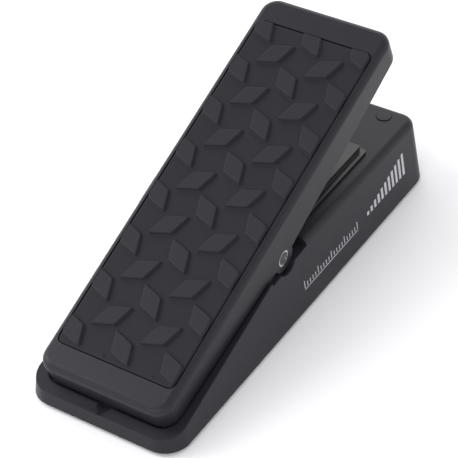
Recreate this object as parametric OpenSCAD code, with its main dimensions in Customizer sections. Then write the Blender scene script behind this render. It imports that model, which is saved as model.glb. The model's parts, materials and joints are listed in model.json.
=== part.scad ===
// Full-size volume pedal: a rocking treadle on a wedge-shaped housing, with a
// steel band that turns the control inside.
// Millimetres. +Y points to the toe end, +X to the player's right, +Z up.
// The origin is on the floor, under the middle of the housing.
// Places along the pedal are written from the heel end and moved by from_heel().
// Treadle pieces are written round the pivot axis, with the treadle level.

/* [Housing] */
// Length of the housing at its bottom edge
base_len = 284; // [260:1:330]
// Width of the housing at its bottom edge
base_w = 99; // [94:1:120]
// Lean of the side and end walls from upright, in degrees
wall_draft = 7.5; // [4:0.5:8.5]
// Corner radius of the bottom edge, seen from above
base_corner_r = 15; // [12:1:20]
// Radius that the toe deck rolls over into the walls with
deck_edge_r = 4.6; // [3:0.2:5]
// Thickness of the housing walls
base_wall = 2.6; // [2:0.1:3]
// Height of the rim at the heel, above the floor
heel_h = 12.8; // [12:0.2:17]
// Height of the flat toe deck above the floor
deck_h = 45; // [43:0.5:52]
// Rise of the heel half, in mm per mm of length
heel_slope = 0.278; // [0.24:0.002:0.28]

/* [Treadle] */
// Width of the treadle
treadle_w = 84.4; // [74:0.2:86]
// Treadle length from the pivot back to the heel end
treadle_back = 120.2; // [105:0.2:122]
// Treadle length from the pivot forward to the toe end
treadle_front = 143.8; // [138:0.2:160]
// Height of the foot surface above the pivot axis
treadle_rise = 26.4; // [23:0.2:30]
// Corner radius of the treadle, seen from above
treadle_corner_r = 10; // [8:0.5:14]
// Radius of the rounded edge round the foot surface
treadle_edge_r = 4.5; // [3:0.5:5]
// Thickness of the treadle skirts
skirt_wall = 2.4; // [2:0.1:3]
// Thickness of the top plate
plate_t = 4; // [3.5:0.5:5]
// Depth of the skirts at the toe end, below the foot surface
toe_skirt = 17; // [14:0.5:19]
// Gap left between the skirts and the toe deck when the toe is down
deck_clear = 0.9; // [0.6:0.1:2]

/* [Motion] */
// Height of the pivot axis above the floor
pivot_z = 46; // [45:0.5:52]
// Distance of the pivot axis from the heel end of the housing
pivot_y = 125; // [118:0.5:130]
// Lean of the treadle when the heel is down, in degrees
heel_down_tilt = 21; // [20:0.5:23]
// Angle that the treadle turns through, in degrees
travel = 20.6; // [15:0.2:22]

/* [Tread pad] */
// Width of the rubber pad
pad_w = 75.5; // [68:0.5:78]
// Plain band between the pad and the heel end of the treadle
pad_heel_gap = 16.6; // [12:0.2:24]
// Plain band between the pad and the toe end of the treadle
pad_toe_gap = 18.4; // [12:0.2:24]
// Depth of the pocket that the pad lies in
pad_pocket = 1.6; // [1:0.1:2]
// Gap between the edge of the pad and its pocket
pad_gap = 0.7; // [0.4:0.1:1]
// Height of the raised lozenges
lozenge_h = 1.8; // [0.8:0.1:2]
// Spacing of the lozenges across the pad
lozenge_dx = 32; // [28:0.5:36]
// Spacing of the lozenges along the pad
lozenge_dy = 30.8; // [28:0.2:36]
// Long diagonal of a lozenge
lozenge_long = 26; // [20:0.5:30]
// Short diagonal of a lozenge
lozenge_short = 12.5; // [8:0.5:15]

/* [Pivot] */
// Diameter of the pivot shaft
shaft_d = 8; // [6:0.5:9]
// Running clearance on the shaft's radius
shaft_play = 0.05; // [0.02:0.01:0.1]
// Outer diameter of the bearing bushes
bush_d = 12; // [11:0.5:14]
// Radius of the round boss on each treadle skirt
boss_r = 9; // [8:0.5:10]
// Thickness of the housing lugs that carry the bushes
lug_t = 5.5; // [4:0.5:7]

/* [Band drive] */
// Radius of the sector that carries the band
sector_r = 36; // [32:0.5:38]
// Radius of the drum on the control shaft
drum_r = 5; // [4.5:0.1:6.5]
// Thickness of the steel band
band_t = 0.3; // [0.2:0.05:0.5]
// Width of the sector and of the band
band_w = 8; // [6:0.5:10]
// Direction of the drum, in degrees below level, seen from the pivot
drum_angle = 35; // [32:1:40]
// Diameter of the control's body
pot_d = 24; // [20:0.5:26]
// Diameter of the control's shaft
pot_shaft_d = 6; // [5:0.1:6.4]

/* [Fittings] */
// Height of the rubber feet
foot_h = 2.5; // [2:0.5:5]
// Radius of the rubber feet
foot_r = 9; // [6:0.5:12]
// Thickness of the sheet that closes the bottom
sheet_t = 1.2; // [0.8:0.1:2]
// Bore radius of the 6.35 mm jack sockets
jack_bore_r = 3.2; // [3.2:0.01:3.3]
// Spacing of the jack sockets
jack_pitch = 27; // [22:0.5:28]
// Height of the jack sockets above the floor
jack_z = 24; // [22:0.5:26]
// Width of the mechanism cover, without its flange
cover_w = 62; // [54:1:64]
// Height of the mechanism cover above the toe deck
cover_h = 4.6; // [3.5:0.1:6]
// Length of the mechanism cover
cover_len = 79; // [70:1:90]

/* [Hidden] */

$fn = 64;
eps = 0.01;
fit_gap = 0.3;

// Colours
charcoal = [0.23, 0.225, 0.255];
soft_black = [0.16, 0.16, 0.18];
steel = [0.72, 0.73, 0.75];
dark_steel = [0.2, 0.2, 0.22];
nylon = [0.85, 0.84, 0.8];
brass = [0.78, 0.62, 0.3];
board_green = [0.1, 0.33, 0.2];

// Housing: the walls lean in from the bottom edge, and the top follows three lines
base_z = foot_h;
// The wall's slope is rounded so that flat walls and round corners meet exactly
wall_slope = round(tan(wall_draft) * 1000) / 1000;
function end_in(z) = (z - base_z) * wall_slope;
function half_w(z) = base_w / 2 - end_in(z);
heel_y = 9;
dip_y0 = pivot_y - 16;
dip_y1 = pivot_y + 21;
plateau_y = dip_y1 + 4;
function rim_z(y) = heel_h + (y - heel_y) * heel_slope;
knee_z = rim_z(dip_y0);
dip_drop = 2;
dip_z0 = knee_z - dip_drop;
dip_z1 = deck_h - 2 * dip_drop;
nest = 2;
floor_gap = 1.2;
deck_drop = nest + floor_gap;
side_gap = 0.5;
heel_gap = 1.2;
seat_top = base_z + sheet_t;

// Treadle: from places along the pedal to places round the pivot
function to_u(y, z) = (y - pivot_y) * cos(heel_down_tilt) + (z - pivot_z) * sin(heel_down_tilt);
function to_w(y, z) = -(y - pivot_y) * sin(heel_down_tilt) + (z - pivot_z) * cos(heel_down_tilt);
function to_y(u, w) = pivot_y + u * cos(heel_down_tilt) - w * sin(heel_down_tilt);
function to_z(u, w) = pivot_z + u * sin(heel_down_tilt) + w * cos(heel_down_tilt);
plate_under = treadle_rise - plate_t;
heel_skirt = 16;
// The heel half of the skirt follows the rim, nest below it
skirt_y0 = round(to_y(-treadle_back, treadle_rise - heel_skirt) * 100) / 100;
skirt_y1 = dip_y0 + 1;
skirt_z0 = rim_z(skirt_y0) - nest;
skirt_z1 = dip_z0 + 0.6;
step_u = boss_r + 4;

// Pivot stack along X, from the outside in
skirt_x = treadle_w / 2;
boss_t = 5;
boss_in = skirt_x - boss_t;
flange_t = 1;
lug_x1 = boss_in - flange_t - 0.1;
lug_x0 = lug_x1 - lug_t;
shaft_half = skirt_x - 1;
clip_t = 0.8;
clip_r = shaft_d / 2 + 1.8;
sleeve_r = shaft_d / 2 + 1;

// Stops
bumper_x = 26;
heel_post_u = 14 - treadle_back;
heel_post_len = 7.5;
heel_stop_w = plate_under - heel_post_len;
stop_gap = 0.2;
heel_bumper_r = 5.5;
toe_bumper_r = 4.5;
toe_bumper_proud = 0.5;
toe_tilt = heel_down_tilt - travel;
toe_post_u = treadle_front - 4.9;
toe_post_r = 4;
toe_bumper_y = pivot_y + toe_post_u + 4.5;
toe_stop_w = (deck_h + toe_bumper_proud + stop_gap - pivot_z - toe_post_u * sin(toe_tilt))
    / cos(toe_tilt);
pocket_d = 1.2;

// Drive
drum_gap = 0.1;
drum_dist = sector_r + band_t + drum_gap + band_t + drum_r;
drum_y = pivot_y + drum_dist * cos(drum_angle);
drum_z = pivot_z - drum_dist * sin(drum_angle);
drum_flange_r = drum_r + 2;
drum_half = band_w / 2 + 1;
drum_flange_t = 1.2;
sector_a0 = drum_angle - travel - 12;
sector_a1 = drum_angle + 15;
hub_r = boss_r;
foot_t = 3;
pad_boss_h = 4;
pad_boss_r = 4;
foot_w1 = plate_under - pad_boss_h;
arm_x = 9;
arm_u = 12;
slot_half = band_w / 2 + 4;
slot_y0 = pivot_y - 20;
slot_y1 = pivot_y + sector_r + 10;

// Control
bracket_t = 1.5;
bushing_x0 = drum_half + drum_flange_t + 1.1;
bracket_x0 = bushing_x0 + 3.2;
pot_x0 = bracket_x0 + bracket_t;
pot_t = 10;
bushing_r = 4.75;
foot_y0 = slot_y1 + 4;
foot_y1 = foot_y0 + 16;
ceiling_z = deck_h - base_wall;

// Mechanism cover
cover_y0 = plateau_y + 2;
cover_y1 = cover_y0 + cover_len;
flange_w = 3.6;
cover_wall = 2;

// Board
board_y0 = foot_y1 + 6;
board_y1 = board_y0 + 50;
board_half = 28;
board_t = 1.6;
board_z = ceiling_z - 9;

// Jacks
panel_out = base_len - end_in(jack_z);
seat_y = panel_out - 3.4;
panel_t = 3.8;
panel_in = seat_y - panel_t;
jack_len = 26;
jack_thread_r = 4.7;
jack_tip = panel_out - 0.4;

module from_heel() { translate([0, -base_len / 2, 0]) children(); }
module on_treadle(tilt = heel_down_tilt) {
    from_heel() translate([0, pivot_y, pivot_z]) rotate([tilt, 0, 0]) children();
}
// A cylinder along X
module bar(x0, x1, r) { translate([x0, 0, 0]) rotate([0, 90, 0]) cylinder(h = x1 - x0, r = r); }
// A cylinder along +Y
module rod(y0, y1, r) { translate([0, y0, 0]) rotate([-90, 0, 0]) cylinder(h = y1 - y0, r = r); }
module both_sides() { children(); mirror([1, 0, 0]) children(); }
// A side view in Y and Z, carried across from -half to half
module across(half) {
    translate([-half, 0, 0]) rotate([90, 0, 90]) linear_extrude(height = 2 * half) children();
}
// Side view of everything above a line of points
module above(points, top) {
    n = len(points);
    polygon(concat(points, [[points[n - 1][0], top], [points[0][0], top]]));
}
module rounded_plan(w, y0, y1, r) {
    translate([-w / 2, y0 + r]) square([w, y1 - y0 - 2 * r]);
    translate([-w / 2 + r, y0]) square([w - 2 * r, y1 - y0]);
    for (x = [-w / 2 + r, w / 2 - r]) for (y = [y0 + r, y1 - r]) translate([x, y]) circle(r);
}
// Half of a slab's section, from the middle out, with a round top edge
module edge_section(half, h, edge) {
    square([half, h - edge]);
    square([half - edge, h]);
    translate([half - edge, h - edge]) intersection() {
        circle(edge);
        square(edge);
    }
}
module slab_section(half, h, edge) {
    edge_section(half, h, edge);
    mirror([1, 0]) edge_section(half, h, edge);
}
// A slab with round corners in plan and a round top edge
module soft_slab(w, y0, y1, z0, z1, r, edge) {
    mid = (y0 + y1) / 2;
    h = z1 - z0;
    translate([0, mid, z0]) {
        translate([0, (y1 - y0) / 2 - r, 0]) rotate([90, 0, 0])
            linear_extrude(height = y1 - y0 - 2 * r) slab_section(w / 2, h, edge);
        across(w / 2 - r) slab_section((y1 - y0) / 2, h, edge);
        for (x = [r - w / 2, w / 2 - r]) for (y = [y0 - mid + r, y1 - mid - r])
            translate([x, y, 0]) rotate_extrude() edge_section(r, h, edge);
    }
}
// A thin round wire along a few points, which all lie well off the X direction
function unit(v) = v / norm(v);
module wire(points, r) {
    n = len(points);
    sides = 8;
    rings = [for (i = [0 : n - 1]) let (
        d = unit(points[min(i + 1, n - 1)] - points[max(i - 1, 0)]),
        a = unit(cross(d, [1, 0, 0])), b = cross(d, a))
        for (k = [0 : sides - 1]) points[i] + r * (cos(360 * k / sides) * a + sin(360 * k / sides) * b)];
    walls = [for (i = [0 : n - 2]) for (k = [0 : sides - 1]) let (m = (k + 1) % sides)
        [i * sides + k, (i + 1) * sides + k, (i + 1) * sides + m, i * sides + m]];
    ends = [[for (k = [0 : sides - 1]) k], [for (k = [sides - 1 : -1 : 0]) (n - 1) * sides + k]];
    polyhedron(points = rings, faces = concat(walls, ends));
}
// A pan-head screw along +Z, its head below z = 0
module screw(r, len, head_r, head_h) {
    difference() {
        union() {
            translate([0, 0, -head_h]) cylinder(h = head_h, r = head_r);
            cylinder(h = len, r = r);
        }
        translate([0, 0, -head_h]) {
            cube([head_r * 1.2, head_r * 0.25, head_h], center = true);
            cube([head_r * 0.25, head_r * 1.2, head_h], center = true);
        }
    }
}

// ---- Housing ----
// Leaning walls with cone-shaped corners, drawn smaller by inset on every side
module frustum(inset) {
    h = ceil(deck_h + 5 - base_z);
    lean = h * wall_slope;
    w = base_w / 2 - inset;
    r = base_corner_r - inset;
    translate([0, base_len - base_corner_r, base_z]) rotate([90, 0, 0])
        linear_extrude(height = base_len - 2 * base_corner_r)
            polygon([[-w, 0], [w, 0], [w - lean, h], [lean - w, h]]);
    across(base_w / 2 - base_corner_r) polygon([[inset, base_z], [base_len - inset, base_z],
        [base_len - inset - lean, base_z + h], [inset + lean, base_z + h]]);
    for (x = [-1, 1]) for (y = [base_corner_r, base_len - base_corner_r])
        translate([x * (base_w / 2 - base_corner_r), y, base_z]) cylinder(h = h, r1 = r, r2 = r - lean);
}
// Half of a section: a wall that leans in from r, with a round edge at the top
module lean_edge(r, h, edge) {
    k = sqrt(1 + wall_slope * wall_slope);
    mid_x = round((r - wall_slope * (h - edge) - edge * k) * 1000) / 1000;
    mid_z = h - edge;
    polygon([[0, 0], [r, 0], [mid_x + edge / k, mid_z + edge * wall_slope / k], [mid_x, mid_z],
        [mid_x, h], [0, h]]);
    translate([mid_x, mid_z]) intersection() {
        circle(edge - 0.004);
        square(edge);
    }
}
// A section right across: a plain middle with a leaning edge on both sides
module lean_section(half, h) {
    side = half - base_corner_r;
    translate([-side, 0]) square([2 * side, h]);
    for (m = [0, 1]) mirror([m, 0]) translate([side, 0]) lean_edge(base_corner_r, h, deck_edge_r);
}
// The housing's outer block, up to the flat deck
module outer_block() {
    h = deck_h - base_z;
    translate([0, base_len - base_corner_r, base_z]) rotate([90, 0, 0])
        linear_extrude(height = base_len - 2 * base_corner_r) lean_section(base_w / 2, h);
    translate([0, base_len / 2, base_z]) across(base_w / 2 - base_corner_r)
        lean_section(base_len / 2, h);
    for (x = [-1, 1]) for (y = [base_corner_r, base_len - base_corner_r])
        translate([x * (base_w / 2 - base_corner_r), y, base_z])
            rotate_extrude() lean_edge(base_corner_r, h, deck_edge_r);
}
// Side view of the housing below its sloping heel half
module under_top() {
    polygon([[-1, 0], [-1, rim_z(-1)], [dip_y0, knee_z], [dip_y1, deck_h + 1],
        [base_len + 1, deck_h + 1], [base_len + 1, 0]]);
}
// Holes of the bottom screws, as [side, y, top of the boss]
bottom_bosses = [[0.8, 20], [0.8, base_len / 2 + 10], [0.8, base_len - 58]];
module at_bottom_bosses() {
    for (b = bottom_bosses) for (x = [-1, 1])
        translate([x * b[0] * base_w / 2, b[1], 0]) children();
}
module cavity() {
    intersection() {
        frustum(base_wall);
        across(base_w) polygon([
            [0, 0], [0, rim_z(0) - deck_drop - base_wall],
            [dip_y0 - base_wall, rim_z(dip_y0) - deck_drop - base_wall],
            [dip_y1 + base_wall, dip_z1 - base_wall], [dip_y1 + base_wall, ceiling_z],
            [base_len, ceiling_z], [base_len, 0]]);
    }
}
module base_housing() {
    color(charcoal) from_heel() difference() {
        union() {
            difference() {
                intersection() {
                    outer_block();
                    across(base_w) under_top();
                }
                cavity();
                // The sheet's seat, open below
                translate([0, 0, base_z - 1]) linear_extrude(height = sheet_t + 1)
                    rounded_plan(base_w - 2 * base_wall, base_wall, base_len - base_wall,
                        base_corner_r - base_wall);
                // Recess that the heel half of the treadle sinks into
                recess();
                // Shallow dip in the walls beside the pivot
                across(base_w) above([[dip_y0, dip_z0], [dip_y1, dip_z1]], deck_h + 20);
            }
            intersection() {
                at_bottom_bosses() translate([0, 0, seat_top]) cylinder(h = deck_h, r = 3.5);
                across(base_w) polygon([[0, 0], [0, rim_z(0) - deck_drop - 1],
                    [dip_y0, rim_z(dip_y0) - deck_drop - 1], [dip_y1, dip_z1 - 1],
                    [base_len, deck_h - 1], [base_len, 0]]);
            }
            // Thick panel behind the jack sockets
            intersection() {
                translate([-jack_pitch - 13, panel_in, jack_z - 12])
                    cube([2 * jack_pitch + 26, 8, 24]);
                frustum(1);
            }
            both_sides() lug();
            for (x = [bracket_x0 + 6, bracket_x0 + 16]) translate([x, (foot_y0 + foot_y1) / 2, 0])
                translate([0, 0, ceiling_z - eps]) cylinder(h = 1, r = 3);
            at_board_screws() translate([0, 0, board_z + board_t])
                cylinder(h = ceiling_z + 1 - board_z - board_t, r = 3);
        }
        both_sides() translate([0, pivot_y, pivot_z]) {
            bar(lug_x0 - 1, lug_x1 + 1, bush_d / 2);
            bar(lug_x1 + eps, base_w, boss_r + 0.8);
        }
        // Slot that the drive arm swings in
        translate([-slot_half, slot_y0, dip_z0 - 14]) cube([2 * slot_half, slot_y1 - slot_y0, 40]);
        at_bottom_bosses() translate([0, 0, seat_top - 1]) cylinder(h = 6.5, r = 1.25);
        at_jacks() {
            translate([0, 0, jack_z]) rod(seat_y, base_len + 5, 9.5);
            translate([0, 0, jack_z]) rod(panel_in - 1, base_len, jack_thread_r + 0.1);
        }
        at_bumpers(heel_bumper_y) translate([0, 0, heel_pocket_z])
            cylinder(h = 20, r = heel_bumper_r + 0.1);
        at_bumpers(toe_bumper_y) translate([0, 0, deck_h - pocket_d])
            cylinder(h = 5, r = toe_bumper_r + 0.1);
        for (x = [bracket_x0 + 6, bracket_x0 + 16]) translate([x, (foot_y0 + foot_y1) / 2, 0])
            translate([0, 0, ceiling_z - 1]) cylinder(h = 2.6, r = 1.25);
        at_board_screws() translate([0, 0, board_z + board_t - 1]) cylinder(h = 8, r = 1.25);
        at_cover_screws() translate([0, 0, ceiling_z - 1]) cylinder(h = 10, r = 1.25);
        heel_notch();
    }
}
module recess() {
    intersection() {
        across(base_w) above([[0, rim_z(0) - deck_drop], [dip_y0 + 1, rim_z(dip_y0 + 1) - deck_drop]],
            deck_h + 20);
        linear_extrude(height = deck_h + 20)
            rounded_plan(treadle_w + 2 * side_gap, skirt_y0 - heel_gap, dip_y0 + 30,
                treadle_corner_r + side_gap);
    }
}
// Finger notch in the middle of the heel rim
module heel_notch() {
    translate([0, 0, heel_h + 4.2]) rod(-1, skirt_y0 + 1, 6.5);
}
module lug() {
    difference() {
        union() {
            translate([lug_x0, pivot_y - 8, dip_z0 - base_wall - 1])
                cube([lug_t, 16, pivot_z - dip_z0 + base_wall + 1]);
            translate([0, pivot_y, pivot_z]) bar(lug_x0, lug_x1, 8.5);
        }
        translate([0, pivot_y, dip_z0 - base_wall - 20]) cube([2 * base_w, 60, 38], center = true);
    }
}
module at_jacks() {
    for (i = [-1, 0, 1]) translate([i * jack_pitch, 0, 0]) children();
}
module at_bumpers(y) {
    for (x = [-bumper_x, bumper_x]) translate([x, y, 0]) children();
}
module bottom_cover() {
    color(dark_steel) from_heel() translate([0, 0, base_z]) linear_extrude(height = sheet_t)
        difference() {
            rounded_plan(base_w - 2 * base_wall - 2 * fit_gap, base_wall + fit_gap,
                base_len - base_wall - fit_gap, base_corner_r - base_wall - fit_gap);
            at_bottom_bosses() circle(1.7);
        }
}
module bottom_screws() {
    color(steel) from_heel() at_bottom_bosses() translate([0, 0, base_z]) screw(1.25, 6, 2.8, 1.3);
}
module rubber_feet() {
    foot_x = base_w / 2 - base_corner_r;
    color(soft_black) from_heel() for (x = [-foot_x, foot_x]) for (y = [34, base_len - 38])
        translate([x, y, 0]) {
            cylinder(h = foot_h, r = foot_r);
        }
}
heel_bumper_y = to_y(heel_post_u, heel_stop_w);
heel_pocket_z = rim_z(heel_bumper_y) - deck_drop - pocket_d;
module heel_bumpers() {
    color(soft_black) intersection() {
        from_heel() at_bumpers(heel_bumper_y) translate([0, 0, heel_pocket_z])
            cylinder(h = 30, r = heel_bumper_r);
        on_treadle() translate([-base_w, -base_len, heel_stop_w - stop_gap - 60])
            cube([2 * base_w, 2 * base_len, 60]);
    }
}
module toe_bumpers() {
    color(soft_black) from_heel() at_bumpers(toe_bumper_y) translate([0, 0, deck_h - pocket_d])
        cylinder(h = pocket_d + toe_bumper_proud, r = toe_bumper_r);
}

// ---- Mechanism cover ----
cover_screws = [[-20, cover_y0 + 9], [20, cover_y0 + 9], [0, cover_y1 - 9]];
module at_cover_screws() {
    for (p = cover_screws) translate([p[0], p[1], 0]) children();
}
module mechanism_cover() {
    color(soft_black) from_heel() difference() {
        translate([0, 0, deck_h]) {
            linear_extrude(height = cover_h) rounded_plan(cover_w, cover_y0, cover_y1, 1.5);
            linear_extrude(height = 1.6)
                rounded_plan(cover_w + 2 * flange_w, cover_y0 - 2, cover_y1 + 1.5, 2.5);
        }
        difference() {
            translate([0, 0, deck_h - 1]) linear_extrude(height = cover_h + 1 - cover_wall)
                rounded_plan(cover_w - 2 * cover_wall, cover_y0 + cover_wall,
                    cover_y1 - cover_wall, 1);
            at_cover_screws() translate([0, 0, deck_h - 1]) cylinder(h = 20, r = 4);
        }
        at_cover_screws() {
            translate([0, 0, deck_h - 1]) cylinder(h = 20, r = 1.7);
            translate([0, 0, deck_h + cover_h - 1.6]) cylinder(h = 20, r = 3.1);
        }
        translate([-slot_half, cover_y0 - 5, deck_h - 1])
            cube([2 * slot_half, 5 + cover_wall + 1, cover_h]);
    }
}
module mechanism_cover_screws() {
    color(steel) from_heel() at_cover_screws() translate([0, 0, deck_h + cover_h - 1.6])
        rotate([180, 0, 0]) screw(1.25, cover_h - 1.6 + 2.4, 2.8, 1.4);
}

// ---- Treadle ----
module skirt_side() {
    polygon([
        [-treadle_back - 1, treadle_rise + 1],
        [-treadle_back - 1, to_w(skirt_y0, skirt_z0)],
        [to_u(skirt_y0, skirt_z0), to_w(skirt_y0, skirt_z0)],
        [to_u(skirt_y1, skirt_z1), to_w(skirt_y1, skirt_z1)],
        [step_u, to_w(skirt_y1, skirt_z1) + 0.4],
        [step_u, deck_h + deck_clear - pivot_z],
        [treadle_front + 1, treadle_rise - toe_skirt],
        [treadle_front + 1, treadle_rise + 1]]);
}
module treadle() {
    low = -boss_r - 6;
    color(charcoal) on_treadle() difference() {
        union() {
            difference() {
                intersection() {
                    soft_slab(treadle_w, -treadle_back, treadle_front, low, treadle_rise,
                        treadle_corner_r, treadle_edge_r);
                    across(treadle_w) skirt_side();
                }
                translate([0, 0, low - 1]) linear_extrude(height = plate_under - low + 1)
                    rounded_plan(treadle_w - 2 * skirt_wall, -treadle_back + skirt_wall,
                        treadle_front - skirt_wall, treadle_corner_r - skirt_wall);
            }
            both_sides() bar(boss_in, skirt_x, boss_r);
            both_sides() translate([boss_in, -boss_r, 0])
                cube([boss_t, 2 * boss_r, plate_under + 1]);
            for (x = [-bumper_x, bumper_x]) {
                translate([x, heel_post_u, heel_stop_w])
                    cylinder(h = plate_under - heel_stop_w + 1, r = 5);
                translate([x, toe_post_u, toe_stop_w])
                    cylinder(h = plate_under - toe_stop_w + 1, r = toe_post_r);
            }
            at_arm_screws() translate([0, 0, foot_w1]) cylinder(h = pad_boss_h + 1, r = pad_boss_r);
            // Long ribs that stiffen the plate
            both_sides() translate([18, -treadle_back + 1, plate_under - 3])
                cube([2, treadle_back + treadle_front - 2, 4]);
        }
        both_sides() {
            bar(boss_in - 1, skirt_x + 1, sleeve_r);
        }
        translate([0, 0, treadle_rise - pad_pocket]) linear_extrude(height = 10)
            rounded_plan(pad_w + 2 * pad_gap, pad_u0 - pad_gap, pad_u1 + pad_gap, 4 + pad_gap);
        at_arm_screws() translate([0, 0, foot_w1 - 1]) cylinder(h = 6, r = 1.6);
    }
}
pad_u0 = pad_heel_gap - treadle_back;
pad_u1 = treadle_front - pad_toe_gap;
module lozenge(lean) {
    rotate([0, 0, lean]) polygon([[-lozenge_long / 2, 0], [0, -lozenge_short / 2],
        [lozenge_long / 2, 0], [0, lozenge_short / 2]]);
}
module tread_pad() {
    columns = ceil(pad_w / lozenge_dx);
    rows = ceil((pad_u1 - pad_u0) / lozenge_dy);
    first_u = pad_u1 - lozenge_dy * 0.13;
    color(soft_black) on_treadle() {
        translate([0, 0, treadle_rise - pad_pocket]) linear_extrude(height = pad_pocket)
            rounded_plan(pad_w, pad_u0, pad_u1, 4);
        translate([0, 0, treadle_rise - 0.2]) linear_extrude(height = lozenge_h + 0.2)
            intersection() {
                rounded_plan(pad_w, pad_u0, pad_u1, 4);
                union() {
                    for (i = [-columns : columns]) for (j = [0 : rows])
                        translate([i * lozenge_dx, first_u - j * lozenge_dy]) lozenge(-45);
                    for (i = [-columns : columns]) for (j = [0 : rows])
                        translate([(i + 0.5) * lozenge_dx, first_u - (j + 0.5) * lozenge_dy])
                            lozenge(45);
                }
            }
    }
}

// ---- Pivot ----
module pivot_shaft() {
    color(dark_steel) on_treadle() difference() {
        bar(-shaft_half, shaft_half, shaft_d / 2);
        both_sides() translate([lug_x0 - 0.2 - clip_t, 0, 0]) rotate([0, 90, 0]) difference() {
            cylinder(h = clip_t, r = shaft_d);
            translate([0, 0, -1]) cylinder(h = clip_t + 2, r = shaft_d / 2 - 0.8);
        }
    }
}
module pivot_sleeves() {
    color(steel) on_treadle() both_sides() difference() {
        bar(boss_in, skirt_x - 0.3, sleeve_r);
        bar(boss_in - 1, skirt_x + 1, shaft_d / 2);
    }
}
module bearing_bushes() {
    color(nylon) from_heel() translate([0, pivot_y, pivot_z]) both_sides() difference() {
        union() {
            bar(lug_x0, lug_x1 + flange_t, bush_d / 2);
            bar(lug_x1, lug_x1 + flange_t, bush_d / 2 + 2);
        }
        bar(lug_x0 - 1, skirt_x, shaft_d / 2 + shaft_play);
    }
}
module shaft_clips() {
    color(steel) on_treadle() both_sides() translate([lug_x0 - 0.2 - clip_t, 0, 0]) difference() {
        bar(0, clip_t, clip_r);
        bar(-1, clip_t + 1, shaft_d / 2 - 0.8);
        translate([-1, -1.6, 0]) cube([clip_t + 2, 3.2, shaft_d]);
    }
}

// ---- Band drive ----
module at_arm_screws() {
    for (x = [-arm_x, arm_x]) for (u = [-arm_u, arm_u]) translate([x, u, 0]) children();
}
// Angles of the sector are measured down from level at rest, in the housing's frame
module sector_slice(a0, a1, r) {
    steps = 6;
    polygon(concat([[0, 0]], [for (i = [0 : steps]) let (a = a0 + (a1 - a0) * i / steps)
        [r * cos(a) / cos((a1 - a0) / steps / 2), -r * sin(a) / cos((a1 - a0) / steps / 2)]]));
}
module at_rest_frame() { from_heel() translate([0, pivot_y, pivot_z]) children(); }
// Side view of the sector: from the hub out to the arc, with a lightening hole
module sector_side() {
    middle = (sector_a0 + sector_a1) / 2;
    difference() {
        union() {
            intersection() {
                circle(sector_r);
                sector_slice(sector_a0, sector_a1, sector_r + 3);
            }
            circle(hub_r);
        }
        circle(shaft_d / 2);
        rotate(-middle) translate([sector_r * 0.6, 0]) circle(5);
    }
}
module at_band_ends() {
    at_rest_frame() for (a = [sector_a0 + 3, sector_a1 - 3]) rotate([-a, 0, 0]) children();
}
module drive_arm() {
    color(nylon) difference() {
        union() {
            at_rest_frame() across(band_w / 2) sector_side();
            on_treadle() {
                translate([-band_w / 2, -hub_r, shaft_d / 2 + 2])
                    cube([band_w, 2 * hub_r, foot_w1 - shaft_d / 2 - 3]);
                translate([-arm_x - 4, -arm_u - 5, foot_w1 - foot_t])
                    cube([2 * arm_x + 8, 2 * arm_u + 10, foot_t]);
            }
        }
        at_band_ends() rod(sector_r - 6, sector_r + 5, 0.9);
        on_treadle() at_arm_screws() translate([0, 0, foot_w1 - foot_t - 1])
            cylinder(h = foot_t + 2, r = 2);
    }
}
module drive_arm_screws() {
    color(steel) on_treadle() at_arm_screws() translate([0, 0, foot_w1 - foot_t])
        screw(1.6, foot_t + 4.6, 3.4, 2);
}
module drive_band() {
    color(steel) difference() {
        at_rest_frame() across(band_w / 2) intersection() {
            difference() {
                circle(sector_r + band_t);
                circle(sector_r);
            }
            sector_slice(sector_a0, sector_a1, sector_r + 3);
        }
        at_band_ends() rod(sector_r - 6, sector_r + 5, 0.9);
    }
}
module band_screws() {
    color(brass) at_band_ends()
        difference() {
            union() {
                rod(sector_r - 5, sector_r + band_t, 0.9);
                rod(sector_r + band_t, sector_r + band_t + 0.6, 1.4);
            }
            translate([0, sector_r + band_t + 0.6, 0]) cube([0.5, 0.6, 4], center = true);
        }
}
module at_drum() { from_heel() translate([0, drum_y, drum_z]) children(); }
module band_drum() {
    color(brass) at_drum() difference() {
        union() {
            bar(-drum_half, drum_half, drum_r);
            both_sides() bar(drum_half, drum_half + drum_flange_t, drum_flange_r);
        }
        bar(-drum_half - 5, drum_half + 5, pot_shaft_d / 2);
        // Threaded hole of the set screw, in the left flange
        translate([-drum_half - drum_flange_t / 2, 0, 0]) rod(0, drum_flange_r + 1, 0.45);
    }
}
module band_wrap() {
    color(steel) at_drum() difference() {
        bar(-band_w / 2, band_w / 2, drum_r + band_t);
        bar(-band_w, band_w, drum_r);
    }
}
module drum_set_screw() {
    color(dark_steel) at_drum() translate([-drum_half - drum_flange_t / 2, 0, 0])
        rod(pot_shaft_d / 2, drum_flange_r - 0.3, 0.45);
}

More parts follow.
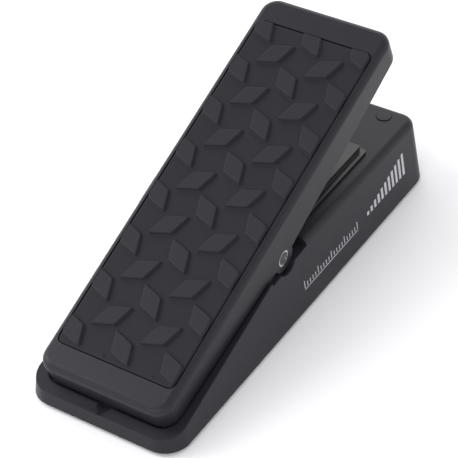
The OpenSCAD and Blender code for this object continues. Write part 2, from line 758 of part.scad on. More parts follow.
// ---- Control ----
module control_shaft() {
    color(steel) at_drum() bar(-drum_half - drum_flange_t - 0.5, pot_x0 + 6, pot_shaft_d / 2);
}
module control_body() {
    color(steel) at_drum() difference() {
        union() {
            bar(pot_x0, pot_x0 + pot_t, pot_d / 2);
            bar(bushing_x0, pot_x0, bushing_r);
        }
        bar(bushing_x0 - 1, pot_x0 + 6.3, pot_shaft_d / 2 + shaft_play);
    }
}
module control_terminals() {
    color(brass) at_drum() difference() {
        for (z = [-5, 0, 5]) translate([pot_x0 + 3, pot_d / 2 - 2, z - 1]) cube([0.6, 7.2, 2]);
        bar(pot_x0, pot_x0 + pot_t, pot_d / 2 + 0.02);
    }
}
module hex_bar(x0, x1, r) {
    translate([x0, 0, 0]) rotate([0, 90, 0]) cylinder(h = x1 - x0, r = r, $fn = 6);
}
module control_nut() {
    color(steel) at_drum() difference() {
        hex_bar(bracket_x0 - 2.6, bracket_x0 - 0.5, 7);
        bar(bushing_x0 - 2, bracket_x0, bushing_r);
    }
}
module control_washer() {
    color(steel) at_drum() difference() {
        bar(bracket_x0 - 0.5, bracket_x0, 7.5);
        bar(bushing_x0 - 2, bracket_x0 + 1, bushing_r);
    }
}
module control_bracket() {
    color(steel) from_heel() difference() {
        union() {
            translate([bracket_x0, drum_y - 11, drum_z - 11])
                cube([bracket_t, foot_y1 - drum_y + 11, 22]);
            translate([bracket_x0, foot_y0 - 2, drum_z - 11])
                cube([bracket_t, foot_y1 - foot_y0 + 2, ceiling_z - drum_z + 11]);
            translate([bracket_x0, foot_y0, ceiling_z - bracket_t])
                cube([21, foot_y1 - foot_y0, bracket_t]);
        }
        translate([0, drum_y, drum_z]) bar(bracket_x0 - 1, bracket_x0 + 5, bushing_r + 0.05);
        for (x = [bracket_x0 + 6, bracket_x0 + 16]) translate([x, (foot_y0 + foot_y1) / 2, 0])
            translate([0, 0, ceiling_z - bracket_t - 1]) cylinder(h = bracket_t + 2, r = 1.6);
    }
}
module bracket_screws() {
    color(steel) from_heel() for (x = [bracket_x0 + 6, bracket_x0 + 16])
        translate([x, (foot_y0 + foot_y1) / 2, ceiling_z - bracket_t]) screw(1.25, 3, 2.6, 1.6);
}
module control_wires() {
    color(charcoal) from_heel() for (i = [-1, 0, 1])
        wire([[pot_x0 + 4.4, drum_y + pot_d / 2 + 3.6, drum_z + 5 * i],
            [pot_x0 + 7, drum_y + pot_d / 2 + 10, drum_z + 4 * i],
            [pot_x0 + 6 + 3 * i, board_y0 - 3, board_z - 6],
            [pot_x0 + 6 + 3 * i, board_y0 + 3, board_z - 4],
            [pot_x0 + 6 + 3 * i, board_y0 + 3, board_z - eps]], 0.7);
}

// ---- Board ----
module at_board_screws() {
    for (x = [-board_half + 4, board_half - 4]) for (y = [board_y0 + 9, board_y1 - 5])
        translate([x, y, 0]) children();
}
module circuit_board() {
    color(board_green) from_heel() difference() {
        translate([-board_half, board_y0, board_z]) cube([2 * board_half, board_y1 - board_y0, board_t]);
        at_board_screws() translate([0, 0, board_z - 1]) cylinder(h = board_t + 2, r = 1.6);
    }
}
module board_components() {
    color(soft_black) from_heel() translate([0, 0, board_z]) {
        for (x = [-12, 4]) translate([x, board_y0 + 20, -3.2]) cube([6.4, 9.6, 3.2]);
        for (x = [-16, -4, 8]) translate([x, board_y0 + 40, -6]) cylinder(h = 6, r = 3);
        for (i = [0 : 3]) translate([-16 + 8 * i, board_y0 + 11, -2.4]) cube([2.4, 6, 2.4]);
    }
}
module board_screws() {
    color(steel) from_heel() at_board_screws() translate([0, 0, board_z]) screw(1.25, 6.5, 2.6, 1.6);
}

// ---- Jack sockets ----
module jack(i) {
    color(soft_black) from_heel() translate([i * jack_pitch, 0, jack_z]) difference() {
        union() {
            translate([-7.5, panel_in - jack_len, -9]) cube([15, jack_len, 18]);
            rod(panel_in, jack_tip, jack_thread_r);
        }
        rod(panel_in - jack_len + 2, jack_tip + 1, jack_bore_r);
    }
}
module input_jack() { jack(1); }
module tuner_jack() { jack(0); }
module output_jack() { jack(-1); }
module jack_washers() {
    color(steel) from_heel() at_jacks() translate([0, 0, jack_z]) difference() {
        rod(seat_y, seat_y + 0.6, 8);
        rod(seat_y - 1, seat_y + 2, jack_thread_r);
    }
}
module jack_nuts() {
    color(steel) from_heel() at_jacks() translate([0, seat_y + 0.6, jack_z]) difference() {
        rotate([-90, 0, 0]) cylinder(h = 2, r = 7.4, $fn = 6);
        rod(-1, 4, jack_thread_r);
    }
}
module jack_wires() {
    color(charcoal) from_heel() for (i = [-1, 0, 1]) translate([i * jack_pitch, 0, 0])
        wire([[0, panel_in - jack_len, jack_z - 5], [0, panel_in - jack_len - 4, jack_z - 5],
            [-i * (jack_pitch - 20), board_y1 - 4, board_z - 5],
            [-i * (jack_pitch - 20), board_y1 - 4, board_z]], 0.7);
}

base_housing();
bottom_cover();
bottom_screws();
rubber_feet();
mechanism_cover();
mechanism_cover_screws();
heel_bumpers();
toe_bumpers();
bearing_bushes();
treadle();
tread_pad();
pivot_shaft();
pivot_sleeves();
shaft_clips();
drive_arm();
drive_arm_screws();
drive_band();
band_screws();
band_drum();
band_wrap();
drum_set_screw();
control_shaft();
control_body();
control_terminals();
control_nut();
control_washer();
control_bracket();
bracket_screws();
control_wires();
circuit_board();
board_components();
board_screws();
input_jack();
tuner_jack();
output_jack();
jack_nuts();
jack_washers();
jack_wires();
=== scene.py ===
# %% [markdown]
# # A volume pedal, finished for the eye
# The exact model gives every part its place and size. This script dresses it: a fine powder coat,
# a moulded rubber pad with raised lozenges, plated steel, nylon and a printed level scale.
# The exact parts are never moved. Where the eye needs softer edges, a rounded copy stands for the part.

import json

import bmesh
import bpy
import numpy as np
from mathutils import Matrix, Vector

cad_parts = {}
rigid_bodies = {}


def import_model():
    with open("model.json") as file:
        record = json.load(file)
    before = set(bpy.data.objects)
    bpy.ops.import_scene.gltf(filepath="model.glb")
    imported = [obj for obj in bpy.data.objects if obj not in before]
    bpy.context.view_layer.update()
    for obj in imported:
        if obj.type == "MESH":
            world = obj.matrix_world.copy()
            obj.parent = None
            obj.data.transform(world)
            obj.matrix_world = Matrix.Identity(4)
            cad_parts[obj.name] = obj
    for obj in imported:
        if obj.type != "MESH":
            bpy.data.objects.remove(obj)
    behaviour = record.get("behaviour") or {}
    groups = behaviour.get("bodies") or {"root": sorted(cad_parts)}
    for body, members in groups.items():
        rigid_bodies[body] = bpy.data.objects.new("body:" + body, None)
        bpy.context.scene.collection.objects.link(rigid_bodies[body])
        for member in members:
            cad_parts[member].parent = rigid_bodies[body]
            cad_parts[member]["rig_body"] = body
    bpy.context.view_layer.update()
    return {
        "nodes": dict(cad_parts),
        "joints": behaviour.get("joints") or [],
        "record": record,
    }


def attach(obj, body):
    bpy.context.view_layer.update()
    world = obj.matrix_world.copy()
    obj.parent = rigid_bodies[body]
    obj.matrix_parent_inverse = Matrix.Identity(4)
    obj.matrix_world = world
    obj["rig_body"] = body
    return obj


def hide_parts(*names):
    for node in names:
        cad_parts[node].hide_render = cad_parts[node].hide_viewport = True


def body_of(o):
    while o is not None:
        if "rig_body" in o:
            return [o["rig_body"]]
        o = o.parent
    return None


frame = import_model()
nodes = frame["nodes"]
MM = 0.001

# %% [markdown]
# ## The treadle's own frame
# The treadle leans back when the heel is down, so its pad is easiest to draw flat and turn afterwards.
# u runs along the treadle, w stands up from it, and both start at the pivot axis.

# %% The treadle's frame
pivot = next(j for j in frame["joints"] if j["name"] == "treadle_pivot")["pos_m"]
LEAN = np.radians(21.0)


def from_treadle(x, u, w):
    """Points across, along and above the treadle, turned by its lean about the pivot axis."""
    y = pivot[1] + u * np.cos(LEAN) - w * np.sin(LEAN)
    z = pivot[2] + u * np.sin(LEAN) + w * np.cos(LEAN)
    return np.stack([x, y, z], axis=-1)


def to_treadle(points):
    """The reverse: across, along and above, from places in the pedal's frame."""
    y, z = points[:, 1] - pivot[1], points[:, 2] - pivot[2]
    return np.stack(
        [points[:, 0], y * np.cos(LEAN) + z * np.sin(LEAN), z * np.cos(LEAN) - y * np.sin(LEAN)], axis=-1
    )


def points_of(node):
    """A part's vertices as one array."""
    co = np.empty(len(nodes[node].data.vertices) * 3, np.float32)
    nodes[node].data.vertices.foreach_get("co", co)
    return co.reshape(-1, 3).astype(float)


pad_low, pad_high = (f(to_treadle(points_of("tread_pad")), axis=0) for f in (np.min, np.max))
print("pad across, along, above in mm:", (pad_low / MM).round(2), (pad_high / MM).round(2))

# %% [markdown]
# ## Camera, light and floor
# The pedal is seen from the heel and the player's right, from above. A long lens keeps its sides
# nearly parallel. The light is a pale room: a soft sky that is dimmer overhead, so that the
# treadle's top stays dark, and three large soft panels that draw thin bright lines along the rounded edges.

# %% Camera
cam_right = Vector((0.84247, 0.536995, -0.043358))
cam_up = Vector((-0.317836, 0.560393, 0.764814))
cam_back = Vector((0.434999, -0.630552, 0.642791))
camera = bpy.data.objects.new("camera", bpy.data.cameras.new("camera"))
bpy.context.scene.collection.objects.link(camera)
turn = Matrix((cam_right, cam_up, cam_back)).transposed().to_4x4()
camera.matrix_world = Matrix.Translation((0.46172, -0.67702, 0.72546)) @ turn
camera.data.sensor_width = 36.0
camera.data.lens = 146.97
camera.data.clip_start, camera.data.clip_end = 0.05, 20.0
bpy.context.scene.camera = camera
print("camera at", [round(v, 3) for v in camera.location], "lens", camera.data.lens)


# %% Soft panels
def soft_panel(name, at, aim, size, power, tint=(1.0, 1.0, 1.0)):
    """A rectangular lamp at a place, turned to face aim."""
    lamp = bpy.data.lights.new(name, "AREA")
    lamp.shape, lamp.size, lamp.size_y = "RECTANGLE", size[0], size[1]
    lamp.energy, lamp.color = power, tint
    holder = bpy.data.objects.new(name, lamp)
    bpy.context.scene.collection.objects.link(holder)
    holder.location = at
    holder.rotation_mode = "QUATERNION"
    holder.rotation_quaternion = (Vector(aim) - Vector(at)).to_track_quat("-Z", "Y")
    return holder


panels = [
    soft_panel("panel_left", (-1.1, -0.5, 1.0), (0, 0, 0.05), (0.5, 1.2), 11.0),
    soft_panel("panel_heel", (0.1, -1.5, 0.75), (0, -0.1, 0.05), (1.2, 0.25), 5.0),
    soft_panel("panel_toe", (-0.9, 1.25, 1.1), (0, 0.1, 0.05), (1.4, 0.7), 5.0, (1.0, 0.93, 0.9)),
]
print("soft panels:", len(panels))

# %% A pale sky, dimmer overhead
bpy.context.scene.view_settings.view_transform = "Standard"
world = bpy.data.worlds.new("studio")
bpy.context.scene.world = world
world.use_nodes = True
sky = world.node_tree
sky_out = sky.nodes["Background"]
sky_where = sky.nodes.new("ShaderNodeTexCoord")
sky_split = sky.nodes.new("ShaderNodeSeparateXYZ")
sky_ramp = sky.nodes.new("ShaderNodeValToRGB")
sky.links.new(sky_where.outputs["Generated"], sky_split.inputs[0])
sky.links.new(sky_split.outputs["Z"], sky_ramp.inputs[0])
sky.links.new(sky_ramp.outputs[0], sky_out.inputs[0])
sky_ramp.color_ramp.elements[0].position, sky_ramp.color_ramp.elements[0].color = 0.25, (1, 1, 1, 1)
sky_ramp.color_ramp.elements[1].position, sky_ramp.color_ramp.elements[1].color = 0.8, (0.6, 0.6, 0.63, 1)
sky_out.inputs[1].default_value = 1.35
print("sky strength:", sky_out.inputs[1].default_value)

# %% Floor
floor_mesh = bpy.data.meshes.new("floor")
floor_mesh.from_pydata([(-6, -6, 0), (6, -6, 0), (6, 6, 0), (-6, 6, 0)], [], [(0, 1, 2, 3)])
floor = bpy.data.objects.new("floor", floor_mesh)
bpy.context.scene.collection.objects.link(floor)
floor_paint = bpy.data.materials.new("floor_paper")
floor_paint.use_nodes = True
floor_shader = floor_paint.node_tree.nodes["Principled BSDF"]
floor_shader.inputs["Base Color"].default_value = (0.97, 0.97, 0.97, 1)
floor_shader.inputs["Roughness"].default_value = 0.9
floor_shader.inputs["Specular IOR Level"].default_value = 0.0
floor_mesh.materials.append(floor_paint)
print("floor laid at z = 0")

# %% [markdown]
# ## Shared finishes
# Two effects come back in many materials: grain and worn edges.
# Each is built once as a node group that puts out only values, and every material mixes them with its
# own numbers. Grain is two layers of noise on object coordinates, so it sits still when the treadle rocks.


# %% A helper for node groups
def node_group(name, inputs, outputs):
    """A new shader node group with named float inputs and outputs, and its two end nodes."""
    group = bpy.data.node_groups.new(name, "ShaderNodeTree")
    for label, value in inputs:
        socket = group.interface.new_socket(label, in_out="INPUT", socket_type="NodeSocketFloat")
        socket.default_value = value
    for label in outputs:
        group.interface.new_socket(label, in_out="OUTPUT", socket_type="NodeSocketFloat")
    return group, group.nodes.new("NodeGroupInput"), group.nodes.new("NodeGroupOutput")


def maths(tree, kind, first, second):
    """A Math node whose two inputs are sockets or plain numbers."""
    node = tree.nodes.new("ShaderNodeMath")
    node.operation = kind
    for slot, value in zip(node.inputs, (first, second)):
        if isinstance(value, bpy.types.NodeSocket):
            tree.links.new(value, slot)
        else:
            slot.default_value = value
    return node.outputs[0]


def noise_on(tree, where, scale, detail=3.0, roughness=0.55):
    """A noise value on a coordinate socket; scale is a number or a socket."""
    node = tree.nodes.new("ShaderNodeTexNoise")
    tree.links.new(where, node.inputs["Vector"])
    if isinstance(scale, bpy.types.NodeSocket):
        tree.links.new(scale, node.inputs["Scale"])
    else:
        node.inputs["Scale"].default_value = scale
    node.inputs["Detail"].default_value = detail
    node.inputs["Roughness"].default_value = roughness
    return node.outputs["Fac"]


# %% Grain: fine speckle and broad unevenness
grain, grain_in, grain_out = node_group(
    "surface_grain", [("Fine", 1500.0), ("Broad", 40.0)], ["Speckle", "Cloud"]
)
grain_where = grain.nodes.new("ShaderNodeTexCoord").outputs["Object"]
grain.links.new(noise_on(grain, grain_where, grain_in.outputs["Fine"], 2.0), grain_out.inputs["Speckle"])
grain.links.new(noise_on(grain, grain_where, grain_in.outputs["Broad"], 5.0), grain_out.inputs["Cloud"])
print("group:", grain.name)

# %% Wear: where a rounded normal leaves the true one, the edge is rubbed
wear, wear_in, wear_out = node_group("edge_wear", [("Breakup", 350.0)], ["Mask"])
wear_round = wear.nodes.new("ShaderNodeBevel")
wear_round.samples = 4
wear_round.inputs["Radius"].default_value = 0.9 * MM
wear_true = wear.nodes.new("ShaderNodeNewGeometry")
wear_dot = wear.nodes.new("ShaderNodeVectorMath")
wear_dot.operation = "DOT_PRODUCT"
wear.links.new(wear_round.outputs[0], wear_dot.inputs[0])
wear.links.new(wear_true.outputs["Normal"], wear_dot.inputs[1])
wear_edge = maths(wear, "MULTIPLY", maths(wear, "SUBTRACT", 1.0, wear_dot.outputs["Value"]), 5.0)
wear_where = wear.nodes.new("ShaderNodeTexCoord").outputs["Object"]
wear_noise = noise_on(wear, wear_where, wear_in.outputs["Breakup"], 4.0, 0.7)
wear_patch = maths(wear, "MULTIPLY", maths(wear, "SUBTRACT", wear_noise, 0.42), 4.0)
wear_both = wear.nodes.new("ShaderNodeMath")
wear_both.operation, wear_both.use_clamp = "MULTIPLY", True
wear.links.new(wear_edge, wear_both.inputs[0])
wear.links.new(wear_patch, wear_both.inputs[1])
wear.links.new(wear_both.outputs[0], wear_out.inputs["Mask"])
print("group:", wear.name)


# %% [markdown]
# ## One recipe for every finish
# A finish starts from a plain colour and a roughness. The recipe then lets the cloud of the grain shade
# both, lets the speckle lift the surface with a Bump node, and rubs the edges towards a second colour.


# %% The recipe
def finish(name, colour, gloss, fine=1500.0, broad=40.0, lift=0.02, shade=0.18, rub=None, metal=0.0,
           rub_amount=0.5, spread=0.12, specular=0.5, coat=0.0, round_edge=0.0):
    """A material: colour and roughness vary with the grain, edges mix towards the rub colour, and
    a round_edge in mm bends the normals near sharp edges as if they were rounded by that radius."""
    made = bpy.data.materials.new(name)
    made.use_nodes = True
    tree = made.node_tree
    shader = tree.nodes["Principled BSDF"]
    g = tree.nodes.new("ShaderNodeGroup")
    g.node_tree = grain
    g.inputs["Fine"].default_value, g.inputs["Broad"].default_value = fine, broad
    tone = tree.nodes.new("ShaderNodeMix")
    tone.data_type = "RGBA"
    tree.links.new(g.outputs["Cloud"], tone.inputs["Factor"])
    tone.inputs["A"].default_value = (*[c * (1 - shade) for c in colour], 1)
    tone.inputs["B"].default_value = (*[min(1.0, c * (1 + shade)) for c in colour], 1)
    last = tone.outputs["Result"]
    rough = maths(tree, "ADD", maths(tree, "MULTIPLY", g.outputs["Cloud"], spread), gloss - spread / 2)
    if rub:
        e = tree.nodes.new("ShaderNodeGroup")
        e.node_tree = wear
        mask = maths(tree, "MULTIPLY", e.outputs["Mask"], rub_amount)
        rubbed = tree.nodes.new("ShaderNodeMix")
        rubbed.data_type = "RGBA"
        tree.links.new(mask, rubbed.inputs["Factor"])
        tree.links.new(last, rubbed.inputs["A"])
        rubbed.inputs["B"].default_value = (*rub, 1)
        last = rubbed.outputs["Result"]
        rough = maths(tree, "SUBTRACT", rough, maths(tree, "MULTIPLY", mask, 0.12))
    tree.links.new(last, shader.inputs["Base Color"])
    tree.links.new(rough, shader.inputs["Roughness"])
    bump = tree.nodes.new("ShaderNodeBump")
    bump.inputs["Strength"].default_value = 0.6
    bump.inputs["Distance"].default_value = lift * MM
    tree.links.new(g.outputs["Speckle"], bump.inputs["Height"])
    if round_edge:
        soft = tree.nodes.new("ShaderNodeBevel")
        soft.samples = 6
        soft.inputs["Radius"].default_value = round_edge * MM
        tree.links.new(soft.outputs[0], bump.inputs["Normal"])
    tree.links.new(bump.outputs[0], shader.inputs["Normal"])
    shader.inputs["Metallic"].default_value = metal
    shader.inputs["Specular IOR Level"].default_value = specular
    shader.inputs["Coat Weight"].default_value = coat
    return made


# %% The finishes of this pedal
paint_rub = (0.05, 0.048, 0.058)
finishes = {
    "housing_paint": finish("housing_powder_coat", (0.0145, 0.0138, 0.0185), 0.42, 1300, 30, 0.05, 0.16,
                            paint_rub, specular=0.22, round_edge=0.9),
    "treadle_paint": finish("treadle_powder_coat", (0.0135, 0.013, 0.0175), 0.40, 1300, 30, 0.05, 0.16,
                            paint_rub, specular=0.25),
    "pad_rubber": finish("pad_rubber", (0.0125, 0.0122, 0.0158), 0.60, 2200, 60, 0.05, 0.22, None, 0.0,
                         0.0, 0.16, 0.2),
    "stop_rubber": finish("stop_rubber", (0.016, 0.016, 0.018), 0.65, 1800, 90, 0.04, 0.25),
    "foot_rubber": finish("foot_rubber", (0.02, 0.02, 0.021), 0.7, 1800, 90, 0.04, 0.25),
    "cover_plastic": finish("cover_moulded_black", (0.007, 0.007, 0.008), 0.36, 1700, 50, 0.03, 0.2,
                            (0.03, 0.03, 0.033)),
    "bearing_plastic": finish("bearing_nylon", (0.62, 0.6, 0.54), 0.45, 1400, 60, 0.02, 0.1),
    "arm_plastic": finish("arm_nylon", (0.02, 0.02, 0.022), 0.48, 1400, 60, 0.03, 0.2),
    "jack_plastic": finish("jack_nylon", (0.014, 0.014, 0.015), 0.4, 1600, 70, 0.02, 0.2, (0.05, 0.05, 0.05)),
    "wire_plastic": finish("wire_sleeve", (0.03, 0.03, 0.034), 0.42, 1200, 80, 0.01, 0.25),
    "board_laminate": finish("board_green_mask", (0.012, 0.09, 0.035), 0.3, 900, 260, 0.02, 0.35, None, 0.0,
                             0.0, 0.1, 0.5, 0.3),
    "chip_plastic": finish("chip_moulding", (0.015, 0.015, 0.016), 0.5, 2400, 120, 0.02, 0.2),
    "bright_steel": finish("bright_steel", (0.66, 0.66, 0.67), 0.22, 1800, 120, 0.01, 0.08,
                           (0.8, 0.8, 0.8), 1.0),
    "zinc_steel": finish("zinc_plate", (0.56, 0.57, 0.6), 0.32, 1500, 160, 0.015, 0.14,
                         (0.75, 0.75, 0.76), 1.0),
    "spring_steel": finish("spring_band", (0.5, 0.51, 0.53), 0.28, 2000, 140, 0.008, 0.1,
                           (0.7, 0.7, 0.7), 1.0),
    "dark_steel": finish("blued_steel", (0.09, 0.09, 0.1), 0.36, 1600, 120, 0.015, 0.2,
                         (0.3, 0.3, 0.31), 1.0),
    "cover_sheet": finish("bottom_sheet_coat", (0.03, 0.03, 0.033), 0.45, 1300, 30, 0.04, 0.18,
                          (0.3, 0.3, 0.3)),
    "brass": finish("brass_tags", (0.7, 0.52, 0.2), 0.3, 1600, 150, 0.01, 0.12, (0.85, 0.7, 0.35), 1.0),
    "control_case": finish("control_case", (0.42, 0.42, 0.43), 0.4, 1500, 100, 0.02, 0.15,
                           (0.6, 0.6, 0.6), 1.0),
}
print("finishes:", len(finishes))

# %% Each exact part gets the finish of its slot
slot_of = {s["node"]: s["material_slot"] for s in frame["record"]["subparts"]}
for label, part in nodes.items():
    part.data.materials.clear()
    part.data.materials.append(finishes[slot_of[label]])
print("parts dressed:", len(slot_of))


# %% [markdown]
# ## Smooth copies of the castings
# The real housing and treadle are castings, so no edge is knife sharp. Each copy is merged and given
# even normals. The treadle and the black cover also get a small bevel on their sharp edges. The
# housing has holes in its faces, so its sharp edges are softened in its paint instead.


# %% Helpers for a smooth copy
SHARP_ANGLE, BEVEL_ANGLE = np.radians(30), np.radians(38)


def merged_copy(node, name, join=True):
    """A copy of an exact part with its loose triangles merged; join makes its flat faces whole."""
    shape = bmesh.new()
    shape.from_mesh(nodes[node].data)
    bmesh.ops.remove_doubles(shape, verts=shape.verts, dist=2e-6)
    if join:
        bmesh.ops.dissolve_limit(
            shape, angle_limit=np.radians(0.4), verts=shape.verts, edges=shape.edges,
            use_dissolve_boundaries=False,
        )
    for edge in shape.edges:
        edge.smooth = bool(edge.calc_face_angle(0.0) < SHARP_ANGLE)
    mesh = bpy.data.meshes.new(name)
    return shape, mesh


def put_out(shape, mesh, node, small, slot):
    """Finishes a copy: a small bevel on sharp edges if wanted, even normals, finish, and its body."""
    shape.to_mesh(mesh)
    shape.free()
    piece = bpy.data.objects.new(mesh.name, mesh)
    bpy.context.scene.collection.objects.link(piece)
    mesh.materials.append(finishes[slot])
    mesh.polygons.foreach_set("use_smooth", np.ones(len(mesh.polygons), bool))
    if small:
        soften = piece.modifiers.new("soften", "BEVEL")
        soften.limit_method, soften.angle_limit = "ANGLE", BEVEL_ANGLE
        soften.width, soften.segments, soften.use_clamp_overlap = small, 2, True
    even = piece.modifiers.new("even", "WEIGHTED_NORMAL")
    even.keep_sharp = True
    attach(piece, body_of(nodes[node])[0])
    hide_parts(node)
    return piece


# %% The housing: even normals over the deck's rolled edge
housing_bm, housing_mesh = merged_copy("base_housing", "smooth_housing", join=False)
housing = put_out(housing_bm, housing_mesh, "base_housing", 0.0, "housing_paint")
print("housing faces:", len(housing_mesh.polygons))

# %% The treadle and the black cover: small soft edges
treadle_bm, treadle_mesh = merged_copy("treadle", "rounded_treadle")
treadle = put_out(treadle_bm, treadle_mesh, "treadle", 0.4 * MM, "treadle_paint")
cover_bm, cover_mesh = merged_copy("mechanism_cover", "rounded_cover")
cover = put_out(cover_bm, cover_mesh, "mechanism_cover", 0.5 * MM, "cover_plastic")
print("treadle and cover faces:", len(treadle_mesh.polygons), len(cover_mesh.polygons))

# %% [markdown]
# ## The tread pad
# The pad is one rubber moulding. Raised lozenges, leaning left and right in turn, give the shoe its grip.
# A grid of heights is the plain way to make it: the relief at a point depends only on how deep the
# point lies inside the nearest lozenge, so all rows and columns are worked out at once.

# %% Sizes of the pad
PAD_LONG, PAD_SHORT = 26 * MM, 12.5 * MM
PAD_CORNER = 4 * MM
GRID_ACROSS, GRID_ALONG = 201, 620
LOZENGE_RAMP, LOZENGE_SOFT = 0.6 * MM, 0.5 * MM
BARE_HEEL = 2.2 * MM
BORDER_RAMP, BORDER_DROP, BORDER_FADE = 0.8 * MM, 0.35 * MM, 0.9 * MM
PAD_DX, PAD_DY = 32 * MM, 30.8 * MM
LOZENGE_H, PAD_T = 1.8 * MM, 1.6 * MM
half_pad = pad_high[0]
u0, u1 = pad_low[1], pad_high[1]
pad_top = pad_high[2] - LOZENGE_H
first_u = u1 - PAD_DY * 0.13
print("pad", round(2 * half_pad / MM, 1), "x", round((u1 - u0) / MM, 1), "mm, top at", round(pad_top / MM, 2))


# %% Relief of the lozenges
def smooth(t):
    """A ramp from 0 to 1 with flat ends: three t squared minus two t cubed."""
    t = np.clip(t, 0, 1)
    return t * t * (3 - 2 * t)


def lozenge_depth(x, u, lean, shift):
    """How far inside the nearest lozenge of one lattice a point lies, measured square to its sides."""
    dx = x - shift * PAD_DX
    du = u - first_u + shift * PAD_DY
    dx = dx - PAD_DX * np.round(dx / PAD_DX)
    du = du - PAD_DY * np.round(du / PAD_DY)
    a = dx * np.cos(lean) + du * np.sin(lean)
    b = du * np.cos(lean) - dx * np.sin(lean)
    a, b = np.hypot(a, LOZENGE_SOFT), np.hypot(b, LOZENGE_SOFT)
    la, lb = PAD_LONG / 2 + LOZENGE_SOFT, PAD_SHORT / 2 + LOZENGE_SOFT
    return (1 - a / la - b / lb) * la * lb / np.hypot(la, lb)


def pad_grid(columns, rows, corner):
    """Places over the pad: rows run along it, and each row narrows near the ends by the corner's arc."""
    u = np.linspace(u0, u1, rows)
    d = np.clip(corner - np.minimum(u - u0, u1 - u), 0, corner)
    half = half_pad - corner + np.sqrt(np.maximum(corner**2 - d**2, 0))
    t = np.linspace(-1, 1, columns)
    return half[:, None] * t[None, :], np.repeat(u[:, None], columns, 1), half


pad_x, pad_u, pad_half = pad_grid(GRID_ACROSS, GRID_ALONG, PAD_CORNER)
depth = np.maximum(
    lozenge_depth(pad_x, pad_u, -np.pi / 4, 0.0), lozenge_depth(pad_x, pad_u, np.pi / 4, 0.5)
)
border = np.minimum(np.minimum(pad_u - u0, u1 - pad_u), pad_half[:, None] - np.abs(pad_x))
raised = smooth(depth / LOZENGE_RAMP) * smooth(border / BORDER_RAMP) * (pad_u > u0 + BARE_HEEL)
pad_w = pad_top + LOZENGE_H * raised - BORDER_DROP * (1 - smooth(border / BORDER_FADE))
print("share of the pad that is raised:", round(float((raised > 0.5).mean()), 3))


# %% A closed slab from a grid of heights
def border_ring(rows, columns):
    """Numbers of the grid points along its border, once round."""
    index = np.arange(rows * columns).reshape(rows, columns)
    return np.concatenate([index[0, :-1], index[:-1, -1], index[-1, :0:-1], index[:0:-1, 0]])


def grid_slab(name, top, under):
    """A closed mesh: the top grid, a wall down from its border, and one face below."""
    rows, columns = top.shape[:2]
    index = np.arange(rows * columns).reshape(rows, columns)
    quads = np.stack([index[:-1, :-1], index[:-1, 1:], index[1:, 1:], index[1:, :-1]], -1).reshape(-1, 4)
    ring = border_ring(rows, columns)
    low = rows * columns + np.arange(len(ring))
    walls = np.stack([low, np.roll(low, -1), np.roll(ring, -1), ring], -1)
    points = np.concatenate([top.reshape(-1, 3), under])
    mesh = bpy.data.meshes.new(name)
    mesh.from_pydata(points.tolist(), [], quads.tolist() + walls.tolist() + [low[::-1].tolist()])
    return mesh


pad_points = from_treadle(pad_x, pad_u, pad_w)
flat = np.stack([pad_x, pad_u], -1).reshape(-1, 2)
edge_ring = border_ring(*pad_x.shape)
under_pad = from_treadle(flat[edge_ring, 0], flat[edge_ring, 1], np.full(len(edge_ring), pad_top - PAD_T))
pad_mesh = grid_slab("moulded_pad", pad_points, under_pad)
pad_mesh.polygons.foreach_set("use_smooth", np.ones(len(pad_mesh.polygons), bool))
height = pad_mesh.attributes.new("raised", "FLOAT", "POINT")
height_values = np.concatenate([raised.ravel(), np.zeros(len(edge_ring))]).astype(np.float32)
height.data.foreach_set("value", height_values)
pad = bpy.data.objects.new("moulded_pad", pad_mesh)
bpy.context.scene.collection.objects.link(pad)
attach(pad, "treadle")
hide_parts("tread_pad")
print("pad faces:", len(pad_mesh.polygons))

# %% [markdown]
# ## Rubber that has been stood on
# Soles polish the tops of the lozenges first. The pad's own height, kept on the mesh as an attribute,
# makes the tops a little paler and glossier than the floor between them.

# %% Pad material
rubber = finishes["pad_rubber"]
rubber_tree = rubber.node_tree
rubber_shader = rubber_tree.nodes["Principled BSDF"]
top_mask = rubber_tree.nodes.new("ShaderNodeAttribute")
top_mask.attribute_name = "raised"
old_colour = rubber_shader.inputs["Base Color"].links[0].from_socket
old_rough = rubber_shader.inputs["Roughness"].links[0].from_socket
polish = rubber_tree.nodes.new("ShaderNodeMix")
polish.data_type = "RGBA"
rubber_tree.links.new(maths(rubber_tree, "MULTIPLY", top_mask.outputs["Fac"], 0.5), polish.inputs["Factor"])
rubber_tree.links.new(old_colour, polish.inputs["A"])
polish.inputs["B"].default_value = (0.020, 0.0195, 0.0245, 1)
rubber_tree.links.new(polish.outputs["Result"], rubber_shader.inputs["Base Color"])
less = maths(rubber_tree, "MULTIPLY", top_mask.outputs["Fac"], 0.08)
rubber_tree.links.new(maths(rubber_tree, "SUBTRACT", old_rough, less), rubber_shader.inputs["Roughness"])
pad_mesh.materials.append(rubber)
print("pad material set")

# %% [markdown]
# ## A printed level scale
# The right wall carries pale print. Here it is a plain level scale: a row of ticks beside the pivot and
# a ramp of bars towards the toe. Each mark is a thin slab that lies on the leaning wall, so all of them
# are made together from one array of rectangles.

# %% Marks on the wall
INK = 0.02 * MM
WALL_FOOT_X, WALL_FOOT_Z, WALL_SLOPE = 49.5 * MM, 2.5 * MM, 0.132
TICKS, TICK_STEP, TICK_HALF, TICK_FOOT = 21, 3.0 * MM, 0.35 * MM, 16.5 * MM
BARS, BAR_STEP, BAR_WIDTH, BAR_FOOT = 11, 4.4 * MM, 2.4 * MM, 17.5 * MM


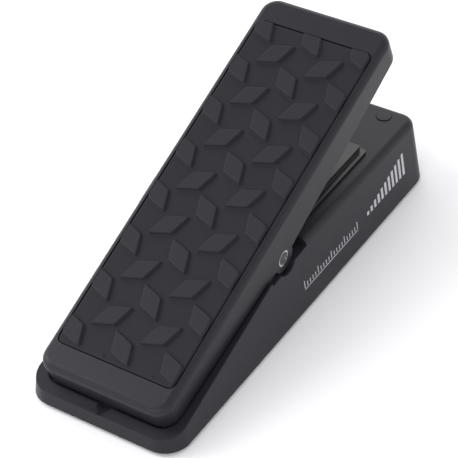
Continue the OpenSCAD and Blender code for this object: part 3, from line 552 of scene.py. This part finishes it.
def wall_place(y, z, out):
    """A point on the right wall at a height z, lifted off the wall by out."""
    x = WALL_FOOT_X - (z - WALL_FOOT_Z) * WALL_SLOPE + out
    return np.stack([x, y, z], -1)


def wall_marks(name, boxes):
    """Closed thin slabs on the wall. Each row of boxes is y from, y to, z from, z to."""
    y0, y1, z0, z1 = boxes.T
    y = np.stack([y0, y1, y1, y0], 1)
    z = np.stack([z0, z0, z1, z1], 1)
    points = np.concatenate([wall_place(y, z, -INK), wall_place(y, z, INK)], 1).reshape(-1, 3)
    one = np.array([[3, 2, 1, 0], [4, 5, 6, 7], [0, 1, 5, 4], [1, 2, 6, 5], [2, 3, 7, 6], [3, 0, 4, 7]])
    faces = (one[None] + 8 * np.arange(len(boxes))[:, None, None]).reshape(-1, 4)
    mesh = bpy.data.meshes.new(name)
    mesh.from_pydata(points.tolist(), [], faces.tolist())
    mark = bpy.data.objects.new(name, mesh)
    bpy.context.scene.collection.objects.link(mark)
    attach(mark, "housing")
    return mark


tick = np.arange(TICKS)
tick_y = -4 * MM + tick * TICK_STEP
tick_foot = np.full(TICKS, TICK_FOOT)
tick_h = np.where(tick % 5 == 0, 5.0, 3.0) * MM
scale_boxes = np.stack([tick_y - TICK_HALF, tick_y + TICK_HALF, tick_foot, tick_foot + tick_h], 1)
scale_line = np.array([[-4.35, 56.35, 15.3, 15.8]]) * MM
level_scale = wall_marks("level_scale", np.concatenate([scale_boxes, scale_line]))
bar = np.arange(BARS)
bar_y = 68 * MM + bar * BAR_STEP
bar_boxes = np.stack([bar_y, bar_y + BAR_WIDTH, np.full(BARS, BAR_FOOT), (20.0 + bar * 1.25) * MM], 1)
level_bars = wall_marks("level_bars", bar_boxes)
ink = finish("pale_ink", (0.42, 0.42, 0.45), 0.5, 1800, 400, 0.01, 0.25)
for mark in (level_scale, level_bars):
    mark.data.materials.append(ink)
print("marks:", len(scale_boxes) + 1 + len(bar_boxes))

# %% [markdown]
# ## The end

# %% Finish: update the view layer
bpy.context.view_layer.update()
